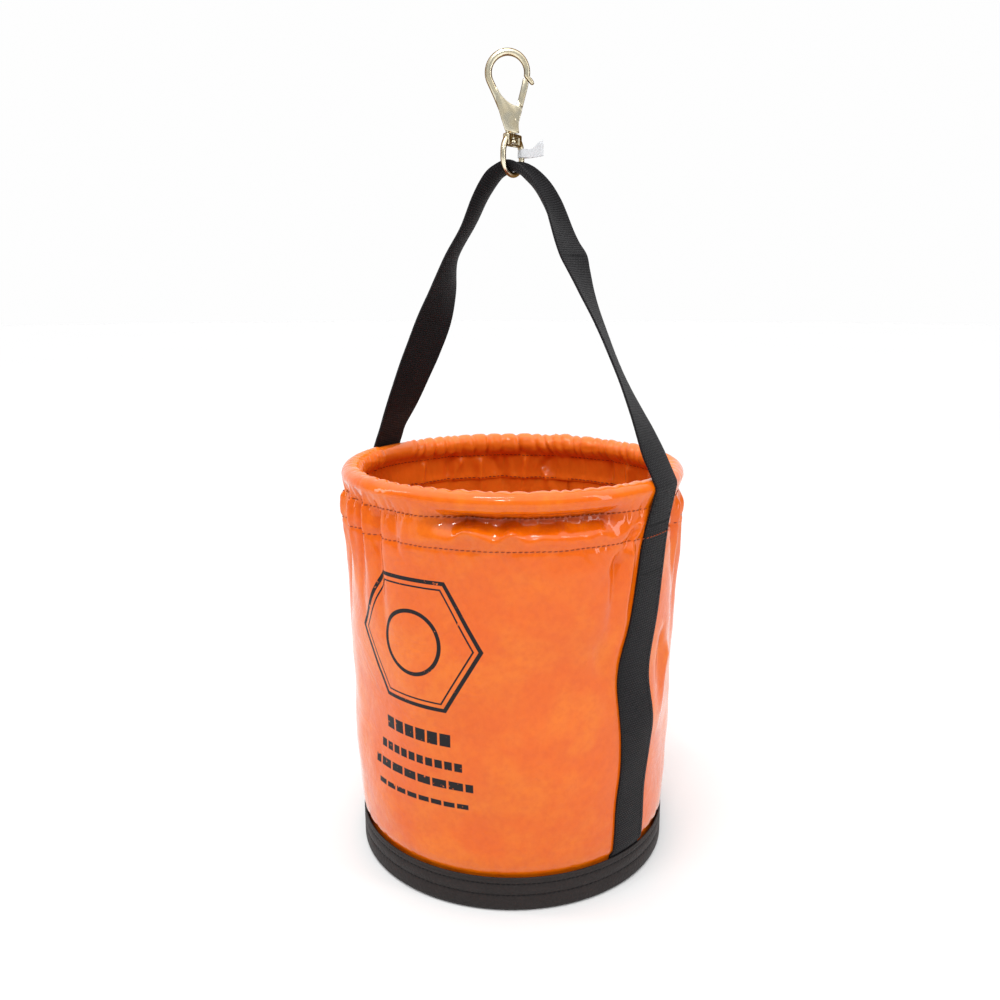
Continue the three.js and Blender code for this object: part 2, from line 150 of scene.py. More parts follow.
def roundEdges(bm, edges, width, parts):
    bmesh.ops.bevel(bm, geom=list(edges), offset=width * mm, segments=parts, profile=0.5, affect="EDGES",
                    material=-1)


def addSpin(bm, profile, steps):
    # a profile of (radius, z) turned round Z
    verts = [bm.verts.new((radius * mm, 0, z * mm)) for radius, z in profile]
    edges = [bm.edges.new(pair) for pair in zip(verts, verts[1:])]
    bmesh.ops.spin(bm, geom=verts + edges, cent=(0, 0, 0), axis=(0, 0, 1), angle=2 * math.pi,
                   steps=steps, use_merge=True)
    bmesh.ops.remove_doubles(bm, verts=bm.verts, dist=1e-6)


def gridSheet(across, along, place, measure):
    # a grid whose vertices are put in place by a function of two shares from 0 to 1
    bm = bmesh.new()
    bmesh.ops.create_grid(bm, x_segments=across, y_segments=along, size=0.5)
    uv = bm.loops.layers.uv.new("UVMap")
    shares = {vert: (vert.co.x + 0.5, vert.co.y + 0.5) for vert in bm.verts}
    for face in bm.faces:
        for loop in face.loops:
            loop[uv].uv = measure(*shares[loop.vert])
    for vert, (u, v) in shares.items():
        vert.co = place(u, v)
    return bm


def isSocket(value):
    return isinstance(value, bpy.types.NodeSocket)


def fill(node, **values):
    # links or sets inputs by name, where Spec_Tint stands for Spec Tint
    for key, value in values.items():
        setInput(node.inputs[key.replace("_", " ")], value)


def setInput(socket, value):
    if isSocket(value):
        socket.id_data.links.new(value, socket)
    elif value is not None:
        socket.default_value = (*value, 1) if hasattr(value, "__len__") else value


def calc(operation, *values):
    # a math node in the tree of the sockets it is given
    tree = next(value.id_data for value in values if isSocket(value))
    node = tree.nodes.new("ShaderNodeMath")
    node.operation = operation
    for socket, value in zip(node.inputs, values):
        setInput(socket, value)
    return node.outputs[0]


def times(first, second):
    return calc("MULTIPLY", first, second)


def scaleAdd(value, scale, offset):
    return calc("MULTIPLY_ADD", value, scale, offset)


def most(first, second):
    return calc("MAXIMUM", first, second)


def gap(first, second):
    return calc("ABSOLUTE", calc("SUBTRACT", first, second))


def mapRange(value, fromLow, fromHigh, toLow=0.0, toHigh=1.0):
    node = value.id_data.nodes.new("ShaderNodeMapRange")
    node.interpolation_type = "SMOOTHSTEP"
    fill(node, Value=value, From_Min=fromLow, From_Max=fromHigh, To_Min=toLow, To_Max=toHigh)
    return node.outputs["Result"]


def mixColour(share, first, second):
    node = share.id_data.nodes.new("ShaderNodeMix")
    node.data_type = "RGBA"
    for key, value in (("Factor_Float", share), ("A_Color", first), ("B_Color", second)):
        setInput(next(s for s in node.inputs if s.identifier == key), value)
    return next(s for s in node.outputs if s.identifier == "Result_Color")


def noiseAt(vector, scale, detail=3.0, roughness=0.5, distortion=0.0):
    node = vector.id_data.nodes.new("ShaderNodeTexNoise")
    fill(node, Vector=vector, Scale=scale, Detail=detail, Roughness=roughness, Distortion=distortion)
    return node.outputs["Fac"]


def splitUp(vector):
    node = vector.id_data.nodes.new("ShaderNodeSeparateXYZ")
    fill(node, Vector=vector)
    return node.outputs


def newMaterial(name, **settings):
    material = bpy.data.materials.new(name)
    material.use_nodes = True
    shader = material.node_tree.nodes["Principled BSDF"]
    fill(shader, **settings)
    spots = material.node_tree.nodes.new("ShaderNodeTexCoord").outputs
    return material, shader, spots["Object"], spots["UV"]


def addBump(shader, height, distance, strength=1.0, under=None):
    node = shader.id_data.nodes.new("ShaderNodeBump")
    fill(node, Distance=distance, Strength=strength, Height=height, Normal=under)
    fill(shader, Normal=node.outputs["Normal"])
    return node.outputs["Normal"]


def newGroup(name, inputs, outputs):
    tree = bpy.data.node_groups.new(name, "ShaderNodeTree")
    tree.interface.new_socket(name="Vector", in_out="INPUT", socket_type="NodeSocketVector")
    for label, value in inputs:
        socket = tree.interface.new_socket(name=label, in_out="INPUT", socket_type="NodeSocketFloat")
        socket.default_value = value
    for label in outputs:
        tree.interface.new_socket(name=label, in_out="OUTPUT", socket_type="NodeSocketFloat")
    return tree, tree.nodes.new("NodeGroupInput").outputs, tree.nodes.new("NodeGroupOutput")


def placeGroup(group, vector, **values):
    node = vector.id_data.nodes.new("ShaderNodeGroup")
    node.node_tree = group
    fill(node, Vector=vector, **values)
    return node.outputs


def makeWeaveGroup():
    # crossing yarns as a height, from a UV in metres
    tree, given, end = newGroup("yarnWeave", [("Across", 0.002), ("Along", 0.0013), ("Stagger", 0.5)],
                                ["Height", "Rib"])
    parts = splitUp(given["Vector"])
    column = calc("DIVIDE", parts["X"], given["Across"])
    row = calc("DIVIDE", parts["Y"], given["Along"])
    odd = times(calc("PINGPONG", calc("FLOOR", row), 1.0), given["Stagger"])
    column = calc("ADD", column, odd)
    hump = [calc("ABSOLUTE", calc("SINE", times(value, math.pi))) for value in (column, row)]
    rib = calc("POWER", hump[1], 0.7)
    fill(end, Height=times(rib, scaleAdd(hump[0], 0.6, 0.4)), Rib=rib)
    return tree


def makeWearGroup():
    # soft patches of handling and dust
    tree, given, end = newGroup("handlingWear", [("Size", 0.05), ("Amount", 0.5)], ["Mask", "Fine"])
    scaled = tree.nodes.new("ShaderNodeVectorMath")
    scaled.operation = "SCALE"
    fill(scaled, Vector=given["Vector"], Scale=calc("DIVIDE", 1.0, given["Size"]))
    broad = noiseAt(scaled.outputs[0], 1.0, 4, 0.55, 0.4)
    fine = noiseAt(scaled.outputs[0], 9.0, 3, 0.6)
    fill(end, Mask=times(mapRange(broad, 0.38, 0.68), given["Amount"]), Fine=fine)
    return tree


weaveGroup = makeWeaveGroup()
wearGroup = makeWearGroup()

vinylLook = {
    "base": (0.74, 0.115, 0.0), "light": (0.78, 0.158, 0.002), "deep": (0.62, 0.070, 0.0),
    # the inside's brighter colour here is painted light
    "paintedInsideLight": (0.95, 0.2, 0.016), "ink": (0.012, 0.011, 0.012),
    "paintedInsideFrom": (0.366, 0.378),  # how far up the sheet it turns in over the hoop, in metres
    "shade": (0.30, 0.022, 0.0), "shadeAt": (0.102, 0.3445),  # painted shade in the recess where the wall is drawn in at the front
    "coat": 0.85, "softEdge": 0.0003,
    "hexCentre": (0.002, 0.238), "hexRadius": 0.054, "line": 0.0032, "innerRadius": 0.027,
    "fineInset": 0.0055, "fineLine": 0.0012,
    # height, half its width, thickness and how long each dash of it is
    "bars": [(0.157, 0.036, 0.011, 0.0120), (0.134, 0.046, 0.0075, 0.0092),
             (0.116, 0.054, 0.0075, 0.0154), (0.097, 0.050, 0.0045, 0.0125)],
}


def printMask(uv):
    # a hexagon nut's outline with a ring in it, and four rows of dashes below
    look = vinylLook
    parts = splitUp(uv)
    x, y = (gap(parts[axis], centre) for axis, centre in zip("XY", look["hexCentre"]))
    hexagon = most(calc("ADD", times(x, math.sin(rad(60))), times(y, 0.5)), y)
    ring = calc("SQRT", calc("ADD", calc("POWER", x, 2.0), calc("POWER", y, 2.0)))

    def within(value, limit):
        return mapRange(value, limit, limit + look["softEdge"], 1, 0)

    def band(value, middle, thick):
        return within(gap(value, middle), thick / 2)

    mask = most(band(hexagon, look["hexRadius"], look["line"]), band(ring, look["innerRadius"], look["line"]))
    mask = most(mask, band(hexagon, look["hexRadius"] - look["fineInset"], look["fineLine"]))
    for height, half, thick, dash in look["bars"]:
        bar = times(within(x, half), band(parts["Y"], height, thick))
        mask = most(mask, times(bar, mapRange(calc("PINGPONG", x, dash / 2), 0.0009, 0.0012)))
    return mask


def creaseShade(uv, place):
    # painted shade: an uneven dark band below the hoop at the front, where the wall is drawn in
    parts = splitUp(uv)
    across, level = vinylLook["shadeAt"]
    height = scaleAdd(calc("SUBTRACT", noiseAt(place, 55, 3), 0.5), 0.012, parts["Y"])
    return times(mapRange(gap(parts["X"], across), 0.05, 0.1, 0.72, 0.0),
                 mapRange(gap(height, level), 0.003, 0.0095, 1.0, 0.0))


def makeVinyl():
    look = vinylLook
    material, shader, place, uv = newMaterial("orangeVinyl", Coat_Roughness=0.05, Specular_IOR_Level=0.03)
    wear = placeGroup(wearGroup, place, Size=0.055, Amount=1.0)
    colour = mixColour(wear["Mask"], look["base"], look["light"])
    colour = mixColour(mapRange(wear["Fine"], 0.35, 0.75, 0.0, 0.3), colour, look["deep"])
    back = material.node_tree.nodes.new("ShaderNodeNewGeometry").outputs["Backfacing"]
    inside = most(back, mapRange(splitUp(uv)["Y"], *look["paintedInsideFrom"]))
    colour = mixColour(times(inside, 0.8), colour, look["paintedInsideLight"])  # painted light: the inside and the sheet turned in over the hoop are coloured brighter
    # painted shade darkens the recess below the hoop at the front
    colour = mixColour(creaseShade(uv, place), colour, look["shade"])
    ink = times(printMask(uv), mapRange(noiseAt(place, 260, 2), 0.24, 0.34))
    fill(shader, Base_Color=mixColour(ink, colour, look["ink"]),
         Roughness=scaleAdd(ink, 0.1, scaleAdd(wear["Fine"], 0.16, 0.24)),
         Coat_Weight=scaleAdd(ink, -0.6, look["coat"]))
    scrim = placeGroup(weaveGroup, uv, Across=0.0011, Along=0.0011, Stagger=0.0)["Height"]
    dents = addBump(shader, noiseAt(place, 24, 3, 0.5, 1.2), 0.005, 0.5)
    crumple = addBump(shader, noiseAt(place, 75, 4, 0.55, 0.8), 0.0014, 0.5, dents)
    addBump(shader, scrim, 0.00012, 0.5, crumple)
    return material


def makeWebbing():
    material, shader, place, uv = newMaterial("blackWebbing", Sheen_Weight=0.04, Sheen_Roughness=0.4,
                                              Specular_IOR_Level=0.17)
    weave = placeGroup(weaveGroup, uv, Across=0.0026, Along=0.0022, Stagger=0.5)
    wear = placeGroup(wearGroup, place, Size=0.03, Amount=0.5)
    # painted light: the weave's raised ribs are coloured lighter and its hollows darker
    colour = mixColour(weave["Height"], (0.0006, 0.0005, 0.0006), (0.0125, 0.0115, 0.0135))
    fill(shader, Base_Color=mixColour(times(wear["Mask"], 0.22), colour, (0.024, 0.022, 0.025)),
         Roughness=scaleAdd(wear["Fine"], 0.2, 0.58))
    addBump(shader, weave["Height"], 0.0007, 1.0)
    return material


def makeThread(name, colour, dark):
    material, shader, place, uv = newMaterial(name, Sheen_Weight=0.04, Specular_IOR_Level=0.15)
    fibre = noiseAt(place, 2400, 2)
    fill(shader, Base_Color=mixColour(fibre, dark, colour), Roughness=scaleAdd(fibre, 0.3, 0.42))
    addBump(shader, fibre, 0.0002, 0.6)
    return material


def makeMoulding(name, colour, grain, depth, gloss):
    material, shader, place, uv = newMaterial(name, Specular_IOR_Level=0.34)
    pebble = material.node_tree.nodes.new("ShaderNodeTexVoronoi")
    pebble.feature = "SMOOTH_F1"
    fill(pebble, Scale=grain, Vector=place)
    height = calc("ADD", times(pebble.outputs["Distance"], -1.0), noiseAt(place, grain * 0.6, 3))
    wear = placeGroup(wearGroup, place, Size=0.04, Amount=0.8)
    lighter = tuple(2.0 * value + 0.004 for value in colour)
    shade = mixColour(times(wear["Mask"], 0.35), colour, lighter)
    fill(shader, Base_Color=mixColour(mapRange(height, -0.4, 0.5, 0.0, 0.5), shade, lighter),
         Roughness=scaleAdd(wear["Fine"], 0.25, gloss))
    addBump(shader, height, depth, 0.8)
    return material


def makeMetal(name, colour, dark, gloss, pit):
    material, shader, place, uv = newMaterial(name, Metallic=1.0, Specular_Tint=(0.5, 0.4, 0.25))
    wear = placeGroup(wearGroup, place, Size=0.011, Amount=0.7)
    # painted reflection: the colour is darkened towards the edges that turn away from view
    edge = material.node_tree.nodes.new("ShaderNodeLayerWeight")
    fill(edge, Blend=0.4)
    tone = mixColour(wear["Mask"], colour, dark)
    paintedEdgeShade = tuple(value * share for value, share in zip(dark, (0.24, 0.15, 0.08)))
    fill(shader, Base_Color=mixColour(mapRange(edge.outputs["Facing"], 0.1, 0.34, 0.0, 0.97), tone, paintedEdgeShade),
         Roughness=scaleAdd(wear["Mask"], 0.14, gloss))
    addBump(shader, noiseAt(place, 420, 2, 0.5), pit, 0.35)
    return material


def makePaper():
    material, shader, place, uv = newMaterial("tagPaper", Sheen_Weight=0.15)
    fibre = placeGroup(weaveGroup, uv, Across=0.0005, Along=0.0004, Stagger=0.5)["Height"]
    grime = noiseAt(place, 160, 3)
    tone = mixColour(mapRange(grime, 0.45, 0.8, 0, 0.25), (0.72, 0.73, 0.75), (0.56, 0.57, 0.62))
    fill(shader, Base_Color=tone, Roughness=scaleAdd(grime, 0.2, 0.6))
    addBump(shader, fibre, 0.0001, 0.5)
    return material


orangeVinyl = makeVinyl()
blackWebbing = makeWebbing()
orangeThread = makeThread("orangeThread", (0.42, 0.075, 0.014), (0.16, 0.018, 0.004))
blackThread = makeThread("blackThread", (0.02, 0.019, 0.021), (0.004, 0.004, 0.004))
blackMoulding = makeMoulding("blackMoulding", (0.009, 0.0055, 0.005), 620, 0.0005, 0.46)
floorBoard = makeMoulding("floorBoard", (0.016, 0.015, 0.015), 300, 0.0002, 0.35)
bronze = makeMetal("bronze", (0.86, 0.80, 0.62), (0.68, 0.58, 0.38), 0.22, 0.00004)
springSteel = makeMetal("springSteel", (0.55, 0.55, 0.56), (0.3, 0.3, 0.3), 0.2, 0.0001)
tagPaper = makePaper()
print("materials made")


def makeStage():
    view = {"distance": 0.859, "azimuth": 34, "height": 0.521, "pitch": -12.7, "lens": 34.2, "shift": -0.0125}
    camera = bpy.data.objects.new("camera", bpy.data.cameras.new("camera"))
    bpy.context.scene.collection.objects.link(camera)
    bpy.context.scene.camera = camera
    azimuth = rad(view["azimuth"])
    camera.location = polar(view["distance"], azimuth - math.pi / 2, view["height"])
    camera.rotation_euler = (rad(90 + view["pitch"]), 0, azimuth)
    camera.data.lens = view["lens"]
    camera.data.sensor_width = 36
    camera.data.shift_x = view["shift"]
    camera.data.clip_start = 0.02
    camera.data.clip_end = 60

    lights = [
        ("keyLeft", (-1.5, -0.9, 1.1), (0.3, 1.5), 6), ("keyRight", (1.55, 0.1, 1.0), (0.25, 1.5), 5),
        ("top", (0.1, -0.55, 1.9), (0.5, 0.1), 7), ("front", (0.65, -1.35, 1.6), (0.3, 0.14), 6),
    ]
    aim = Vector((0, 0, 0.3))
    for name, place, size, power in lights:
        data = bpy.data.lights.new(name, "AREA")
        data.shape = "RECTANGLE"
        data.size, data.size_y = size
        data.energy = power
        light = bpy.data.objects.new(name, data)
        light.location = place
        light.rotation_euler = (aim - Vector(place)).to_track_quat("-Z", "Y").to_euler()
        bpy.context.scene.collection.objects.link(light)

    # the sky is brightest above, then behind the bucket like a white backdrop, and dimmer to the sides
    sky = {"side": 0.3, "behind": 0.69, "before": 0.1, "above": 1.7}
    world = bpy.data.worlds.new("studio")
    world.use_nodes = True
    tree = world.node_tree
    direction = tree.nodes.new("ShaderNodeTexCoord").outputs["Generated"]
    facing = tree.nodes.new("ShaderNodeVectorMath")
    facing.operation = "DOT_PRODUCT"
    setInput(facing.inputs[0], direction)
    facing.inputs[1].default_value = polar(1, azimuth + math.pi / 2)
    behind = mapRange(facing.outputs["Value"], 0.25, 0.8)
    before = mapRange(facing.outputs["Value"], -0.2, -0.8)
    above = mapRange(splitUp(direction)["Z"], 0.3, 0.8)
    strength = most(scaleAdd(behind, sky["behind"], sky["side"]),
                    scaleAdd(before, sky["before"], sky["side"]))
    fill(tree.nodes["Background"], Strength=most(strength, times(above, sky["above"])), Color=(1, 1, 1))
    bpy.context.scene.world = world
    bpy.context.scene.view_settings.view_transform = "Standard"

    bm = bmesh.new()
    bmesh.ops.create_circle(bm, cap_ends=True, segments=64, radius=14)
    paper, shader, place, uv = newMaterial("paleFloor", Roughness=0.9, Specular_IOR_Level=0.1)
    fill(shader, Base_Color=mixColour(noiseAt(place, 0.6, 2), (0.78, 0.78, 0.78), (0.8, 0.8, 0.8)))
    finishMesh("floor", bm, paper)


makeStage()
print("camera and light made")


# the wall and the rim
bucket = {
    "seamAngle": 101.0, "overlap": 13.0,           # where the wall's edges lap, and by how much
    "bottom": 8.0, "throat": 345.0, "hemEdge": 318.0, "hoopHeight": 357.4, "hoopRing": 146.0, "casing": 8.6,
    "webWidth": 38.0, "webThick": 1.8, "lean": 27.0, "upperRow": 345.0, "lowerRow": 320.0,
    "around": 152.0, "middle": 150.0,              # radii for sizes measured round the wall
}
wallOutline = [
    (5, 141.1), (30, 141.1), (32.4, 141.3), (34.5, 142.2), (36.5, 144.0), (40, 145.5), (60, 147.0),
    (107, 148.4), (190, 150.2), (250, 152.0), (300, 152.7), (325, 152.6), (338, 152.2), (345, 151.4),
]
# how far the side webbing has wandered round the soft wall at each height, in degrees
rightDrift = [(0, -11.5), (55, -11.8), (85, -11.9), (118, -9.9), (146, -10.5), (172, -12.3), (200, -13.9),
              (222, -13.0), (244, -10.3), (285, -7.6), (312, -5.8), (340, -2.4), (357, 0), (400, 0)]
leftDrift = [(0, -11.5), (60, -11.4), (120, -12.6), (180, -11.2), (240, -9.4), (285, -7.9), (312, -5.9),
             (340, -2.2), (357, 0), (400, 0)]


def driftTable(rows):
    # the same drift at every whole millimetre, with its corners rounded
    plain = [lookUp(rows, z) for z in range(401)]
    return [sum(plain[clampIndex(z + k, 401)] for k in range(-12, 13)) / 25 for z in range(401)]


drifts = {0: driftTable(rightDrift), 180: driftTable(leftDrift)}


def twistAt(z, side=0):
    place = clamp(z, 0, 399.9)
    low = int(place)
    return mix(drifts[side][low], drifts[side][low + 1], place - low)


def turnBetween(angle, other):
    return (angle - other + 180) % 360 - 180


def awayFromWebbing(angle, z, near=7.4, far=11.0):
    # 0 under the side webbing and 1 clear of it
    nearest = min(abs(turnBetween(angle, side + twistAt(z, side))) for side in (0, 180))
    return smooth((nearest - near) / (far - near))


def creaseTable(seed, spacing, width, unevenness=0.5):
    # sharp valleys of uneven depth round the bucket, from 0 to -1, every quarter of a degree
    chance = random.Random(seed)
    table = [0.0] * 1440
    angle = 0.0
    while angle < 360 - spacing * 0.6:
        depth = mix(1, chance.random(), unevenness)
        half = width * mix(0.7, 1.4, chance.random())
        for step in range(-24, 25):
            at = int(angle * 4) + step
            off = abs(at / 4 - angle) / half
            table[at % 1440] = min(table[at % 1440], -depth * math.exp(-off ** 1.35))
        angle += spacing * mix(0.55, 1.5, chance.random())
    return table


def tableAt(table, angle):
    place = (angle % 360) * 4
    low = int(place)
    return mix(table[low % 1440], table[(low + 1) % 1440], place - low)


rimCreases = creaseTable(11, 4.5, 1.0)
throatCreases = creaseTable(23, 4.4, 0.8)
seamCreases = creaseTable(37, 5.5, 1.0, 0.8)
hemCreases = creaseTable(53, 6.5, 1.3, 0.7)

folds = [
    # angle at the top, top and bottom heights, width in mm, depth in mm, lean in degrees down its length
    (-105, 350, 218, 5.2, -4.6, 6), (-110.5, 351, 262, 4.2, 3.4, 4), (-115.5, 353, 236, 4.4, -5.2, 4),
    (-121, 350, 262, 4.4, 4.2, 2), (-126.5, 352, 216, 5.2, -5.4, -4), (-133, 350, 256, 5.5, 4.0, -3),
    (-140, 352, 232, 5.5, -4.2, -5), (-148, 351, 262, 5.5, 3.0, -4), (-96, 346, 300, 4.5, -2.0, 3),
    (-90, 344, 304, 4.0, 1.6, -3), (-9, 340, 284, 6.0, 4.4, -22), (-13, 334, 268, 6.0, -4.0, -22),
    (-17, 320, 232, 4.5, 3.6, -3), (-22, 314, 218, 5.5, -3.4, -4), (-16, 262, 196, 5.0, 3.0, -9),
    (-21, 205, 128, 6.0, 1.8, 6), (-29, 240, 150, 8.0, -1.4, 8),
    (9, 346, 214, 5.0, -3.2, 4), (14, 348, 240, 4.5, 3.2, -3), (20, 346, 180, 5.5, -3.0, -8),
    (27, 346, 210, 5.5, 2.6, -10), (4, 232, 160, 5.5, -2.8, -3), (9, 215, 120, 6.0, 2.8, -7),
    (36, 350, 250, 5.0, -2.8, 0), (48, 350, 270, 5.5, 2.4, 4), (58, 348, 230, 5.0, -2.2, -5),
    (70, 350, 252, 6.0, -3.0, 3), (82, 350, 280, 5.0, 2.6, -3), (118, 351, 258, 5.0, -3.2, 4),
    (127, 351, 272, 4.5, 2.6, 2), (138, 350, 226, 6.0, -3.6, -3), (150, 351, 276, 5.2, 3.0, 2),
    (163, 350, 236, 6.0, -2.8, 4), (196, 350, 262, 5.5, -3.2, -3), (206, 350, 276, 5.0, 2.6, 3),
    (108, 346, 300, 5.5, 2.4, 9), (133, 344, 296, 5.0, 2.2, -9), (145, 344, 300, 5.5, -2.0, 8),
    (112, 332, 280, 5.0, -2.0, -8), (-70, 342, 318, 5.0, 1.4, 6), (-55, 343, 316, 5.5, 1.6, -5),
    (-40, 342, 314, 6.0, 1.5, -6),
]


def foldsAt(angle, z):
    total = 0.0
    for start, top, bottom, width, depth, lean in folds:
        share = (top - z) / (top - bottom)
        if not 0 < share < 1.0:
            continue
        off = rad(abs(turnBetween(angle, start + lean * share))) * bucket["middle"]
        spread = 0.74 * width * (1 + 0.9 * share)
        if off > 3.2 * spread:
            continue
        fade = smooth(share / 0.12) * (1 - share) ** 1.15 * math.exp(-(off / spread) ** 1.7)
        total += mix(1.6, 2.5, farSide(angle)) * depth * fade
    return total


def lumps(angle, z, size, seed):
    spot = polar(bucket["middle"] / size, rad(angle), z / size) + Vector((seed, 2 * seed, 3 * seed))
    return noise.noise(spot)


def unevenness(angle, radius, seed):
    # a smooth change round the bucket, quicker for a larger radius
    return noise.noise(polar(radius, rad(angle), seed))


def recessUnderHoop(angle):
    # at the front the wall is drawn in deep below the hoop
    return smooth((36 - abs(turnBetween(angle, -51))) / 16)


def farSide(angle):
    # 1 round the back, where the gathers are deeper, and 0 at the front
    return smooth((abs(turnBetween(angle, -56)) - 62) / 45)


def softShift(angle, z):
    # broad bulges and dents, which the side webbing follows
    ends = smooth((z - 38) / 34) * smooth((338 - z) / 40)
    shift = 2.9 * lumps(angle, z, 105, 3.1) + 1.5 * lumps(angle, z, 52, 7.7)
    shift += lumps(angle, 2.4 * z, 120, 5.5)
    shift += 4.2 * bell(turnBetween(angle, -4) / 11) * bell((z - 160) / 34)
    shift -= 2.0 * bell(turnBetween(angle, -30) / 12) * bell((z - 205) / 40)
    return shift * ends


def wallShift(angle, z):
    # outward move of the wall below the hoop
    shift = softShift(angle, z)
    clear = awayFromWebbing(angle, z)
    if clear <= 0:
        return shift
    recess = recessUnderHoop(angle)
    row, throat = bucket["lowerRow"], bucket["throat"]
    small = 0.55 * lumps(angle, z, 21, 1.3) * smooth((z - 40) / 25)
    small += bell((z - row) / 2.6) * (-0.75 + 0.8 * tableAt(seamCreases, angle + (z - row) * 0.05))
    small += 0.9 * tableAt(seamCreases, angle + 1.3 + (z - row) * 0.22) * bell((z - 314) / 9)
    uneven = unevenness(angle, 9, 4.1)
    start = mix(326, 331, recess) + 7 * recess * uneven
    small -= smooth((z - start) / (341 - start)) * mix(0.8, 10.0 + 2.5 * uneven, recess)
    depth = bell((z - 343) / mix(8, 6, recess)) * mix(1.5, 2.0, max(recess, farSide(angle)))
    small += depth * tableAt(throatCreases, angle + (throat - z) * 0.09)
    small += (1.4 + 1.6 * uneven) * recess * bell((z - start + 2) / 4.5)
    small += 0.9 * bell((z - 40) / 5) * tableAt(hemCreases, angle + (z - 40) * 0.15)
    return shift + clear * (small + foldsAt(angle, z))


def rimShift(angle, turn):
    # what the gathers add to the casing's radius round the hoop; turn is in degrees from level outside
    inner = smooth((turn - 62) / 55)
    outer = 1 - smooth((turn + 5) / 45)
    far = farSide(angle)
    slant = 2.6 * unevenness(angle, 3, 6.6)
    gather = tableAt(rimCreases, angle + slant * (turn - 90) / 60)
    fine = tableAt(throatCreases, 2 * angle + slant * (turn - 90) / 45)
    amount = inner * mix(2.1, 3.2, far) + mix(0.1, 1.5, far) + outer * mix(0.2, 1.4, far)
    lift = amount * (0.56 + 0.95 * gather) + 0.25 * inner * fine + 0.35 * lumps(angle, turn, 30, 8.8)
    lift += inner * 0.5 * lumps(angle, turn, 14, 2.8)
    return max(-0.85, lift) * awayFromWebbing(angle, 357)


wallPath = []  # the kind of place, its height or turn, and how far up the sheet it is


def makeWallPath():
    heights = [mix(bucket["bottom"], 298, i / 46) for i in range(46)]
    heights += [mix(298, bucket["throat"], i / 27) for i in range(28)]
    turns = [mix(-10, 242, i / 28) for i in range(29)]
    hem = [mix(bucket["throat"] - 1, bucket["hemEdge"], i / 9) for i in range(10)]
    stations = [("wall", z) for z in heights] + [("rim", t) for t in turns] + [("hem", z) for z in hem]
    length, last = 0.0, None
    for kind, value in stations:
        spot = wallPoint(kind, value, 160.0, plain=True)
        length += (spot - last).length if last else 0.0
        last = spot
        wallPath.append((kind, value, length))


def wallPoint(kind, value, angle, lift=0.0, plain=False):
    # a point on the fabric, lifted off it along its own outside
    if kind == "rim":
        radius = bucket["casing"] + lift + (0 if plain else rimShift(angle, value))
        if not plain:
            # at the front the fabric leaves the hoop further round, on its way in
            leave = recessUnderHoop(angle) * awayFromWebbing(angle, 350)
            value -= 72 * leave * (1 - smooth((value + 10) / 60))
        turn = rad(value)
        return polar(bucket["hoopRing"] + radius * math.cos(turn), rad(angle),
                     bucket["hoopHeight"] + radius * math.sin(turn))
    radius = lookUp(wallOutline, value)
    if not plain:
        radius += wallShift(angle, value)
    if kind == "hem":
        radius -= 1.5
        if not plain:
            creases = tableAt(throatCreases, angle + 2.2) * smooth((bucket["throat"] - value) / 12)
            radius -= 0.5 - 0.9 * creases
        lift = -lift
    return polar(radius + lift, rad(angle), value)


def makeWall():
    makeWallPath()
    around = 806
    rows = len(wallPath) - 1
    start = bucket["seamAngle"]
    end = start + 360 + math.degrees(bucket["overlap"] / bucket["around"])
    printMiddle = 270.0
    cutEdge = 0.8  # the cut edges are turned down by this to show the cloth's thickness

    def place(u, v):
        kind, value, _ = wallPath[round(v * rows)]
        column = round(u * around)
        angle = mix(start, end, u)
        lift = 1.1 * smooth((angle - 360 - start + 2.4) / 2.0)  # the lap's outer edge lies on the inner one
        if column in (0, around):
            lift -= cutEdge
        if round(v * rows) == rows:
            lift -= cutEdge
        return wallPoint(kind, value, angle, lift) * mm

    def measure(u, v):
        length = wallPath[round(v * rows)][2]
        turn = rad(mix(start, end, u) - printMiddle)
        return (turn * bucket["middle"] * mm, (bucket["bottom"] + length) * mm)

    piece = finishMesh("wallFabric", gridSheet(around, rows, place, measure), orangeVinyl)
    facing = piece.data.polygons[around * 20 + 40]
    if facing.normal.dot(Vector((facing.center.x, facing.center.y, 0))) < 0:
        piece.data.flip_normals()
    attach(piece, "bucket")
    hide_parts("wall_panel", "rim_casing")


makeWall()
print("wall and rim made")


def spinProfile(name, profile, material, steps):
    bm = bmesh.new()
    addSpin(bm, profile, steps)
    return finishMesh(name, bm, material, smoothAngle=50, recalc=True)


baseGrooves = [25.5, 15.0]  # heights of the grooves that the base's stitches lie in


def makeBase():
    cup = {"radius": 145.4, "height": 32.0, "wall": 1.6, "depth": 0.7, "half": 1.6}
    profile = [(0, 0.5), (60, 0.5), (61, 0), (118, 0), (119, 0.5), (126, 0.5), (127, 0)]
    profile += [(cup["radius"] - 4 + x, 4 + z) for x, z in arc(0, 0, 4, -90, -4, 7)]
    for groove in reversed(baseGrooves):
        for step, depth in ((-1.0, 0), (-0.55, 0.75), (0, 1), (0.55, 0.75), (1.0, 0)):
            profile.append((cup["radius"] - cup["depth"] * depth, groove + cup["half"] * step))
    lip = arc(cup["radius"] - 0.8, cup["height"] - 0.8, 0.8, 0, 180, 8)
    profile += [(cup["radius"], 29.0), (cup["radius"] - 0.35, 29.6), *lip]
    inside = cup["radius"] - cup["wall"]
    profile += [(inside, 5.0), (inside - 0.5, 3.6), (inside - 1.6, 3.0), (0, 3.0)]
    piece = spinProfile("baseCup", profile, blackMoulding, 288)
    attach(piece, "bucket")
    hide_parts("base_cup")


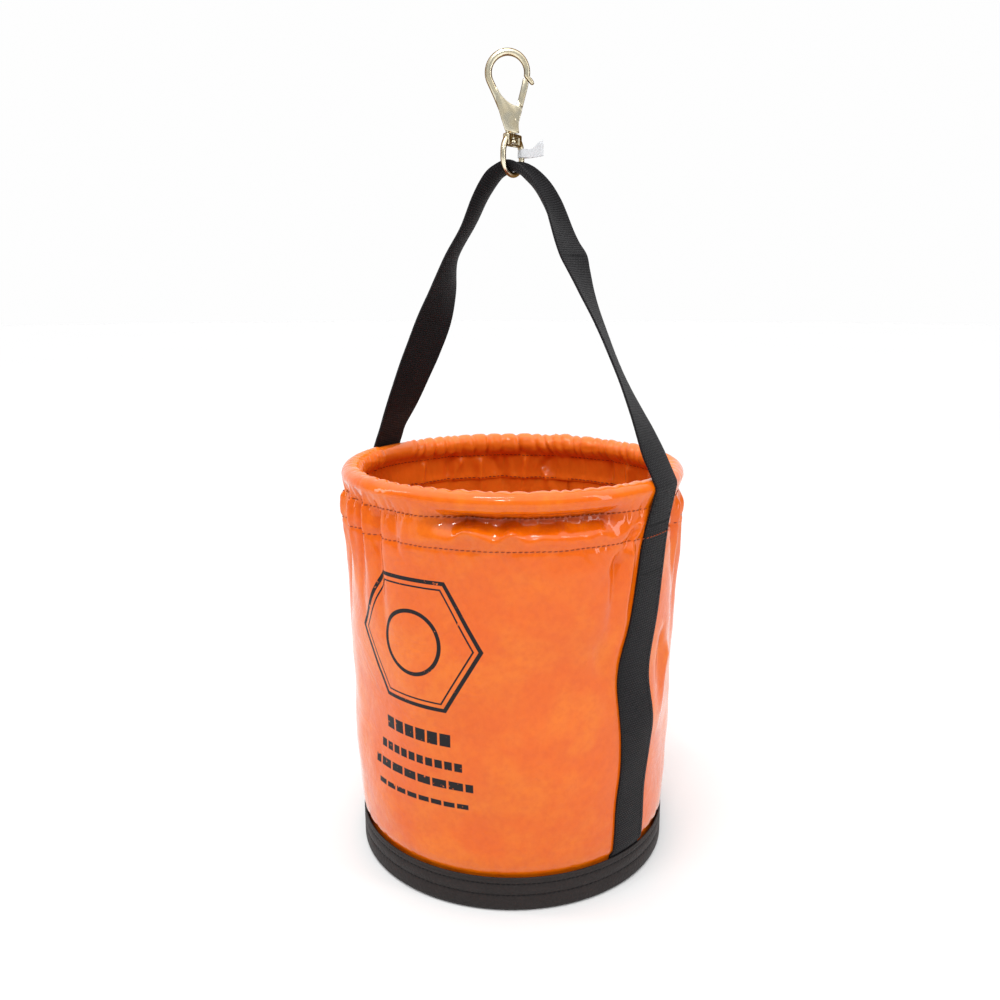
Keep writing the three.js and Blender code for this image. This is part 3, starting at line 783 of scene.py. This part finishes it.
def makeFloor():
    low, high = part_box("floor_panel")
    radius, bottom, top = high.x / mm, low.z / mm, high.z / mm
    soft = 0.7
    edge = arc(radius - soft, bottom + soft, soft, -90, 0, 4) + arc(radius - soft, top - soft, soft, 0, 90, 4)
    groove = [(132, top), (131.4, top - 0.3), (130.8, top)]
    piece = spinProfile("floorBoard", [(0, bottom), *edge, *groove, (0, top)], floorBoard, 160)
    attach(piece, "bucket")
    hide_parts("floor_panel")


makeBase()
makeFloor()
print("base made")


def addStitch(bm, middle, along, outward, length, thick):
    # a drop of thread as long as a stitch
    along = along.normalized()
    side = outward.cross(along).normalized()
    out = along.cross(side)
    basis = (Matrix((along * length, side * thick, out * thick)).transposed() * (mm / 2)).to_4x4()
    matrix = Matrix.Translation(middle * mm) @ basis @ Matrix.Rotation(rad(90), 4, "Y")
    bmesh.ops.create_uvsphere(bm, u_segments=6, v_segments=6, radius=1, matrix=matrix)


def finishStitches(name, bm, material, nodes=(), body="bucket"):
    piece = finishMesh(name, bm, material)
    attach(piece, body)
    if nodes:
        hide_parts(*nodes)


def makeRimStitches():
    stitch = {"pitch": 4.6, "length": 3.6, "thick": 0.9}
    chance = random.Random(7)
    count = round(2 * math.pi * bucket["around"] / stitch["pitch"])
    half = math.degrees(stitch["length"] / 2 / bucket["around"])
    for name, z, node in (("rimStitchUpper", bucket["upperRow"] - 1.0, "rim_stitch_upper"),
                          ("rimStitchLower", bucket["lowerRow"], "rim_stitch_lower")):
        bm = bmesh.new()
        for i in range(count):
            angle = 360 * i / count
            outward = polar(1, rad(angle))
            over = 1 - awayFromWebbing(angle, z, 6.9, 7.9)
            level = z + 0.6 * unevenness(angle, 5, z)
            for kind in ("wall", "hem"):
                before, after = (wallPoint(kind, level + 0.15 * k, angle + half * k) for k in (-1, 1))
                middle = wallPoint(kind, level, angle, 0.15 + 0.1 * chance.random())
                if kind == "wall":
                    middle += outward * over * (bucket["webThick"] + 0.45)
                addStitch(bm, middle, after - before, outward, stitch["length"], stitch["thick"])
        finishStitches(name, bm, orangeThread, [node])


def makeBaseStitches():
    stitch = {"pitch": 4.4, "length": 3.5, "thick": 0.9, "radius": 144.85}
    count = round(2 * math.pi * stitch["radius"] / stitch["pitch"])
    for name, z, node in (("baseStitchUpper", baseGrooves[0], "base_stitch_upper"),
                          ("baseStitchLower", baseGrooves[1], "base_stitch_lower")):
        bm = bmesh.new()
        for i in range(count):
            angle = 2 * math.pi * i / count
            middle, along = polar(stitch["radius"], angle, z), polar(1, angle + math.pi / 2, 0.07)
            addStitch(bm, middle, along, polar(1, angle), stitch["length"], stitch["thick"])
        finishStitches(name, bm, blackThread, [node])


makeRimStitches()
makeBaseStitches()
print("rim and base stitches made")


slingStations = [
    # x, z, turn about its own length in degrees, curl of the section per mm
    (133.5, 403, -6, -0.003), (124, 420.5, -13, 0), (108, 450.5, -21, 0), (88, 490, -18, 0),
    (74.5, 516, -10, 0.002), (66.5, 534, -1, 0.003), (61.5, 545.5, 5, 0.005), (54.5, 556.5, 0, 0.009),
    (47, 569, -4, 0.018), (37, 585, -5, 0.036),
    (26, 600, -3, 0.054), (16.5, 609, 0, 0.07), (8.5, 614.9, 0, 0.086),
    (0, 617.7, 0, 1 / 10.5), (-8.5, 614.9, 2, 0.086), (-16, 610, 8, 0.07), (-28.7, 594.3, 17, 0.05),
    (-42.4, 572, 22, 0.038), (-60, 549, 22, 0.034), (-68.5, 532, 12, 0.026), (-77, 513, -3, 0.012),
    (-90.5, 486, -20, 0),
    (-103, 461, -22, 0), (-115, 438.5, -18, 0), (-131, 409, -10, -0.003),
]
hinges = {0: (142.4, 386.0), 180: (144.4, 386.0)}  # where the strap bends over the rim, on each side


def slingRows():
    # point, normal and across of the strap as one flat tuple with its curl, from the +X base to the -X base
    proud = 0.3 + bucket["webThick"] / 2
    sides = []
    for side in (0, 180):
        rows = []
        heights = [6, 14, 24, 32.4, 37, 42] + list(range(50, 338, 9))
        stations = [(lookUp(wallOutline, z) + softShift(side + twistAt(z, side), z) + proud, z, 0)
                    for z in heights]
        lean, bend = bucket["lean"], hinges[side]
        overHoop = arc(bucket["hoopRing"], bucket["hoopHeight"], 8.9 + proud, -14, lean, 5)
        stations += [(radius, z, mix(-14, lean, i / 5)) for i, (radius, z) in enumerate(overHoop)]
        stations.append((*[mix(a, b, 0.5) for a, b in zip(stations[-1], bend)], lean))
        stations.append((*bend, lean))
        for radius, z, lift in stations:
            angle = rad(side + twistAt(z, side))
            radius = min(radius, 142.6) if z < 32.5 else radius  # between the wall and the base
            point = polar(radius, angle, z)
            normal = polar(math.cos(rad(lift)), angle, math.sin(rad(lift)))
            across = polar(1, angle + math.pi / 2) * (1 if side == 0 else -1)
            rows.append((*point, *normal, *across, -1 / radius))
        sides.append(rows)
    middle = []
    level = Vector((0, 1, 0))
    line = [hinges[0], *slingStations, (-hinges[180][0], hinges[180][1])]
    for (x, z, turn, curl), before, after in zip(slingStations, line, line[2:]):
        along = Vector((after[0] - before[0], 0, after[1] - before[1])).normalized()
        outward = level.cross(along)
        across = level * math.cos(rad(turn)) + outward * math.sin(rad(turn))
        normal = outward * math.cos(rad(turn)) - level * math.sin(rad(turn))
        middle.append((x, 0, z, *normal, *across, curl))
    return sides[0] + middle + sides[1][::-1]


slingPath = slingRows()


def slingFrame(t):
    row = spline(slingPath, t)
    point, normal, across = Vector(row[0:3]), Vector(row[3:6]), Vector(row[6:9]).normalized()
    normal = (normal - across * normal.dot(across)).normalized()
    return point, normal, across, row[9]


def slingPoint(t, sideways, lift=0.0):
    # a point on the strap, sideways from its middle and lifted off its middle surface
    point, normal, across, curl = slingFrame(t)
    squeeze = clamp((curl - 0.04) / 0.055)  # the eye bunches it to 28 mm
    sideways *= 1 - 10 / bucket["webWidth"] * squeeze
    if abs(curl) < 1e-5:
        return point + across * sideways + normal * lift
    turn = sideways * curl
    facing = normal * math.cos(turn) - across * math.sin(turn)
    point = point + across * math.sin(turn) / curl + normal * (1 - math.cos(turn)) / curl + facing * lift
    if 40 < point.z < 338:  # the strap lies on the soft wall right across its width
        side = 0 if point.x > 0 else 180
        outward = Vector((point.x, point.y, 0)).normalized()
        angle = math.degrees(math.atan2(point.y, point.x))
        middle = side + twistAt(point.z, side)
        point = point + outward * (softShift(angle, point.z) - softShift(middle, point.z))
    return point


def measureSling(steps):
    lengths, total, last = [0.0], 0.0, slingPoint(0, 0)
    for i in range(1, steps + 1):
        spot = slingPoint(i / steps, 0)
        total += (spot - last).length
        lengths.append(total)
        last = spot
    return lengths


def makeSling():
    strap = {"across": 12, "along": 640}
    lengths = measureSling(strap["along"])
    half = bucket["webWidth"] / 2

    def ripple(t, sideways):
        # the free legs aren't perfectly flat
        z = slingFrame(t)[0].z
        free = smooth((z - 400) / 40) * (1 - smooth((z - 570) / 30))
        length = lengths[round(t * strap["along"])]
        return free * 0.7 * noise.noise(Vector((sideways / 22, length / 38, 4.2)))

    def place(u, v):
        sideways = mix(-half, half, u)
        return slingPoint(v, sideways, ripple(v, sideways)) * mm

    def measure(u, v):
        return (mix(-half, half, u) * mm, lengths[round(v * strap["along"])] * mm)

    bm = gridSheet(strap["across"], strap["along"], place, measure)
    piece = finishMesh("slingStrap", bm, blackWebbing)
    thicken(piece, bucket["webThick"], 0.55)
    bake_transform(piece)
    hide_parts("side_webbing_right", "side_webbing_left", "handle_webbing")


makeSling()
print("sling made")


tack = {"count": 22, "step": 0.0006, "search": 2000, "heights": {"upper": 329, "lower": 289, "splice": 545.5}}


def addTack(bm, label, flip, left, right, lift, length, thick):
    # a zigzag row of thread across the strap
    steps, height = tack["search"], tack["heights"][label]
    t = min((i / steps for i in range(steps // 2)), key=lambda s: abs(slingFrame(s)[0].z - height))
    t = 1 - t if flip else t
    lift += bucket["webThick"] / 2
    for i in range(tack["count"]):
        sideways = mix(left, right, i / (tack["count"] - 1))
        spot = slingPoint(t, sideways, lift)
        nearby = slingPoint(t + tack["step"] * (1 if i % 2 else -1), sideways + 0.9, lift)
        addStitch(bm, spot, nearby - spot, slingFrame(t)[1], length, thick)


def makeTacks():
    for sideName, flip in (("right", False), ("left", True)):
        for label in ("upper", "lower"):
            bm = bmesh.new()
            addTack(bm, label, flip, -13.5, 13.5, 0.12, 1.9, 0.55)
            name = f"barTack{label.title()}{sideName.title()}"
            finishStitches(name, bm, blackThread, [f"bar_tack_{label}_{sideName}"])
    bm = bmesh.new()
    addTack(bm, "splice", False, -14, 15, 0.15, 2.0, 0.65)
    finishStitches("spliceTack", bm, blackThread, ["splice_tack"], body="handle")


def makeWebbingStitches():
    # two rows of black thread hold the webbing to each side
    rows = {"sideways": 15.6, "pitch": 4.0, "length": 3.1, "thick": 0.6, "top": 352, "bottom": 34}
    steps = 1200
    bm = bmesh.new()
    nextOne = 0.0
    for i, length in enumerate(measureSling(steps)):
        t = i / steps
        z = slingFrame(t)[0].z
        if length < nextOne or not rows["bottom"] < z < rows["top"]:
            continue
        nextOne = length + rows["pitch"]
        for sideways in (-rows["sideways"], rows["sideways"]):
            spot = slingPoint(t, sideways, bucket["webThick"] / 2 + 0.1)
            along = slingPoint(min(1, t + 0.001), sideways) - slingPoint(t, sideways)
            addStitch(bm, spot, along, slingFrame(t)[1], rows["length"], rows["thick"])
    finishStitches("webbingStitches", bm, blackThread)


makeTacks()
makeWebbingStitches()
print("webbing stitches made")


def loftRings(bm, rings, closed=False):
    # faces between rings of points
    loops = [[bm.verts.new(point * mm) for point in ring] for ring in rings]
    pairs = list(zip(loops, loops[1:])) + ([(loops[-1], loops[0])] if closed else [])
    for first, second in pairs:
        for i in range(len(first)):
            j = (i + 1) % len(first)
            bm.faces.new((first[i], first[j], second[j], second[i]))
    if not closed:
        bm.faces.new(loops[0][::-1])
        bm.faces.new(loops[-1])


def roundBox(bm, low, high, bevelWidth, parts=3):
    # a box with its edges rounded
    size = [b - a for a, b in zip(low, high)]
    middle = [(a + b) / 2 for a, b in zip(low, high)]
    matrix = Matrix.Translation(Vector(middle) * mm) @ Matrix.Diagonal((*[v * mm for v in size], 1))
    made = bmesh.ops.create_cube(bm, size=1, matrix=matrix)
    roundEdges(bm, edgesAround(made["verts"]), bevelWidth, parts)


def makeEye():
    eye = {"wire": 2.4, "radius": 14.1, "middle": 628.2, "low": 637.4, "high": 647.2,
           "half": 10.6, "deep": 3.1, "window": 5.1, "windowLow": 638.8, "windowHigh": 644.4,
           "sides": 20, "stem": 2.9}
    bm = bmesh.new()
    shoulders = [(9.4, 642.6), (10.8, 640.8), (12.4, 638.2), (13.6, 634.8), (14.1, 631)]
    bow = arc(0, eye["middle"], eye["radius"], 180, 360, 26)
    line = [(-y, z) for y, z in shoulders] + bow + shoulders[::-1]
    rings = []
    for i, (y, z) in enumerate(line):
        before, after = line[max(0, i - 1)], line[min(len(line) - 1, i + 1)]
        along = Vector((0, after[0] - before[0], after[1] - before[1])).normalized()
        side = Vector((1, 0, 0)).cross(along)
        thick = eye["wire"] * (1 + 0.10 * smooth((z - 632) / 8))
        rings.append([Vector((0, y, z)) + Vector((1, 0, 0)) * thick * math.cos(a) + side * thick * math.sin(a)
                      for a in (2 * math.pi * k / eye["sides"] for k in range(eye["sides"]))])
    loftRings(bm, rings)
    # the boss is four bars round the window that shows the hook's peened stem
    half, deep = eye["half"], eye["deep"]
    roundBox(bm, (-deep, -half, eye["low"]), (deep, -eye["window"], eye["high"]), 1.3)
    roundBox(bm, (-deep, eye["window"], eye["low"]), (deep, half, eye["high"]), 1.3)
    for low, high in ((eye["low"], eye["windowLow"]), (eye["windowHigh"], eye["high"])):
        for sign in (-1, 1):
            near, away = sorted((sign * eye["stem"], sign * (eye["window"] + 1.6)))
            roundBox(bm, (-deep, near, low), (deep, away, high), 0.45, 2)
        for sign in (-1, 1):
            near, away = sorted((sign * eye["stem"], sign * deep))
            roundBox(bm, (near, -3.2, low), (away, 3.2, high), 0.08, 1)
    piece = finishMesh("swivelEye", bm, bronze, smoothAngle=40, recalc=True)
    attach(piece, "eye")
    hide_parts("swivel_eye")


def makeTag():
    # a strip looped round the eye's right limb, pressed together, and flared at its outer end
    tag = {"azimuth": rad(34), "limb": 14.1, "low": 629.3, "high": 636.7, "loop": 3.3, "thick": 0.35}
    plan = [(18.6, 0.9), (16, 0.5), (12.5, 0.35), (9, 0.4), (6.2, 0.9), (4.4, 2.0)]
    plan += arc(0, 0, tag["loop"], 40, 320, 22)[1:-1]
    plan += [(4.4, -2.0), (6.2, -0.9), (9, -0.35), (12.5, -0.3), (16, -0.7), (19.0, -1.6)]
    count = len(plan) - 1
    lengths = [0.0]
    for a, b in zip(plan, plan[1:]):
        lengths.append(lengths[-1] + math.dist(a, b))

    def place(u, v):
        i = round(u * count)
        x, y = plan[i]
        out = smooth((x - 7) / 12)
        back = i < count / 2
        low = tag["low"] + (3.0 if back else 1.6) * out
        high = tag["high"] + (8.4 if back else 5.8) * out + 0.5 * math.sin(0.9 * x) * out
        bend = 0.9 * math.sin(v * 2.4 + (0 if back else 0.7)) * out
        z = mix(low, high, v)
        turned = Matrix.Rotation(tag["azimuth"], 4, "Z") @ Vector((x, y + bend, 0))
        return Vector((turned.x, turned.y + tag["limb"], z)) * mm

    bm = gridSheet(count, 10, place, lambda u, v: (lengths[round(u * count)] * mm, v * 0.008))
    piece = finishMesh("tagStrip", bm, tagPaper)
    thicken(piece, tag["thick"])
    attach(piece, "tag")
    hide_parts("tag")


makeEye()
makeTag()
print("eye and tag made")


# the snap hook is drawn in x and z and then turned to its plane
snap = {"azimuth": rad(34), "pinX": 2.6, "pinZ": 658.0, "pinRadius": 1.1,
        "gateLean": 13.3, "gateLength": 34.5, "gateWidth": 6.4}


def besideGate(*spots):
    # spots given as a distance along the shut gate from its pin, and one outwards from its line
    angle = rad(90 - snap["gateLean"])
    return [(snap["pinX"] + along * math.cos(angle) + outward * math.sin(angle),
             snap["pinZ"] + along * math.sin(angle) - outward * math.cos(angle)) for along, outward in spots]


def addPlate(bm, outline, low, high, edge, parts=3):
    # a plate of an outline in x and z between two distances in y, with rounded edges
    verts = [bm.verts.new((x * mm, low * mm, z * mm)) for x, z in outline]
    face = bm.faces.new(verts)
    made = bmesh.ops.extrude_face_region(bm, geom=[face])
    top = [item for item in made["geom"] if isinstance(item, bmesh.types.BMVert)]
    bmesh.ops.translate(bm, verts=top, vec=(0, (high - low) * mm, 0))
    if edge:
        roundEdges(bm, filter(isLevel, edgesAround(verts + top)), edge, parts)


def finishSnap(name, bm, material, body, nodes):
    bmesh.ops.rotate(bm, verts=bm.verts, cent=(0, 0, 0), matrix=Matrix.Rotation(snap["azimuth"], 3, "Z"))
    piece = finishMesh(name, bm, material, smoothAngle=38, recalc=True)
    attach(piece, body)
    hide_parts(*nodes)


def sweepBar(bm, rows, sides=20, square=2.6):
    # a bar through rows of its left point, its right point and its thickness, squarer than an ellipse
    rings = []
    for (leftX, leftZ), (rightX, rightZ), thick in rows:
        middle = Vector(((leftX + rightX) / 2, 0, (leftZ + rightZ) / 2))
        half = Vector(((rightX - leftX) / 2, 0, (rightZ - leftZ) / 2))
        ring = []
        for k in range(sides):
            a = 2 * math.pi * k / sides
            c, d = math.cos(a), math.sin(a)
            across = math.copysign(abs(c) ** (2 / square), c)
            out = math.copysign(abs(d) ** (2 / square), d)
            ring.append(middle + half * across + Vector((0, thick / 2 * out, 0)))
        rings.append(ring)
    loftRings(bm, rings)


def makeSnapHook():
    hook = {"x": -4.0, "z": 696.0, "outer": 19.4, "inner": 13.4}
    bm = bmesh.new()
    # the spine and web, from the collar up to where the bow begins
    rows = [((-5.3, 648.1), (5.4, 648.1), 5.2), ((-5.8, 649.0), (5.8, 649.0), 6.2),
            ((-6.2, 652.5), (4.6, 651.6), 6.4), ((-7.4, 656.5), (-2.9, 655.2), 6.4),
            ((-9.0, 660.4), (-4.4, 660.2), 6.4), ((-11.0, 664.8), (-5.6, 665.2), 6.4),
            ((-13.0, 669.4), (-6.2, 670.6), 6.4), ((-15.0, 674.0), (-7.4, 675.6), 6.4),
            ((-17.3, 679.0), (-10.9, 680.6), 6.4), ((-19.8, 684.2), (-13.7, 685.4), 6.3)]
    for i in range(27):
        angle = mix(203, -10, i / 26)
        share = smooth((90 - angle) / 100)
        ends = [(hook["x"] + radius * math.cos(rad(angle)), hook["z"] + radius * math.sin(rad(angle)))
                for radius in (hook["outer"] - 0.5 * share, hook["inner"] + 0.3 * share)]
        rows.append((*ends, mix(6.3, 5.6, share)))
    rows += [((16.4, 691.2), (10.9, 691.6), 5.5), ((18.0, 688.9), (13.6, 688.4), 5.2),
             ((18.3, 687.4), (15.6, 686.6), 4.2), ((17.7, 686.8), (16.5, 686.5), 2.6)]
    sweepBar(bm, rows)
    # two cheeks carry the web across to the gate, which swings in the slot between them
    cheek = [(-9.6, 660), (-6.2, 650.2), (-2, 648.9), (5.5, 648.9), (5.2, 653.6),
             *besideGate((0, 2.9), (5, 3.15), (9.2, 3.4), (10.4, 2.7), (11, 1.2)),
             (1.2, 670.0), (-2.2, 671.6), (-5.0, 673.6), (-8.6, 677.0), (-11.4, 681.0), (-13.6, 685.0),
             (-15.4, 683.0), (-13.6, 673.0)]
    for low, high in ((-3.12, -1.75), (1.75, 3.12)):
        addPlate(bm, cheek, low, high, 0.55, 3)
    floor = [(-6.0, 648.6), (5.2, 648.6), (5.0, 652.6), (2.6, 653.4), (-1.0, 654.6), (-5.0, 656)]
    addPlate(bm, floor, -2.2, 2.2, 0)
    stem = [(0, 640.2), (3.9, 640.2), (4.0, 640.8), (3.9, 641.6), (3.1, 642.4), (2.45, 642.9), (2.45, 648.6),
            (0, 648.6)]
    addSpin(bm, stem, 24)
    finishSnap("snapHookBody", bm, bronze, "hook", ["snap_hook"])

    bm = bmesh.new()
    turned = Matrix.Translation((snap["pinX"] * mm, 0, snap["pinZ"] * mm)) @ Matrix.Rotation(rad(90), 4, "X")
    radius = snap["pinRadius"] * mm
    made = bmesh.ops.create_cone(bm, cap_ends=True, segments=20, radius1=radius, radius2=radius,
                                 depth=7.2 * mm, matrix=turned)
    roundEdges(bm, filter(isLevel, edgesAround(made["verts"])), 0.4, 3)
    finishSnap("gatePin", bm, bronze, "hook", ["gate_pin"])


def makeGate():
    tongue = {"thick": 1.45, "foot": 3.0}
    length, half, lean = snap["gateLength"], snap["gateWidth"] / 2, snap["gateLean"]
    foot = arc(snap["pinX"], snap["pinZ"], tongue["foot"], 186 - lean, 360 - lean, 14)
    outline = [*foot, *besideGate((9, 3.3), (18, 3.6), (18, -1.6), (9, -2.2))]
    bm = bmesh.new()
    addPlate(bm, outline, -tongue["thick"], tongue["thick"], 0.2, 2)
    blade = besideGate((11.6, 3.3), (length - 7, 3.9), (length - 3.6, 3.8), (length - 1.0, 2.2),
                       (length - 0.1, 0.3), (length - 0.4, -1.0), (length - 1.4, -1.6), (length - 8, -1.5),
                       (16.4, -1.7), (14.6, -0.4), (12.4, 1.4))
    addPlate(bm, blade, -half + 0.35, half - 0.35, 1.0, 4)
    finishSnap("gateBlade", bm, bronze, "gate", ["gate"])

    bm = bmesh.new()
    leaf = besideGate((3, -2.9), (7, -3.3), (11, -2.9), (11, -2.5), (7, -2.9), (3, -2.6))
    addPlate(bm, leaf, -1.2, 1.2, 0)
    finishSnap("gateSpring", bm, springSteel, "gate", ["gate_spring"])


makeSnapHook()
makeGate()
print("snap hook made")


# two CAD pieces show as they are
for nodeName, material in (("webbing_under_floor", blackWebbing), ("rim_hoop", blackMoulding)):
    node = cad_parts[nodeName]
    node.data.materials.clear()
    node.data.materials.append(material)
print("materials put on the CAD pieces")
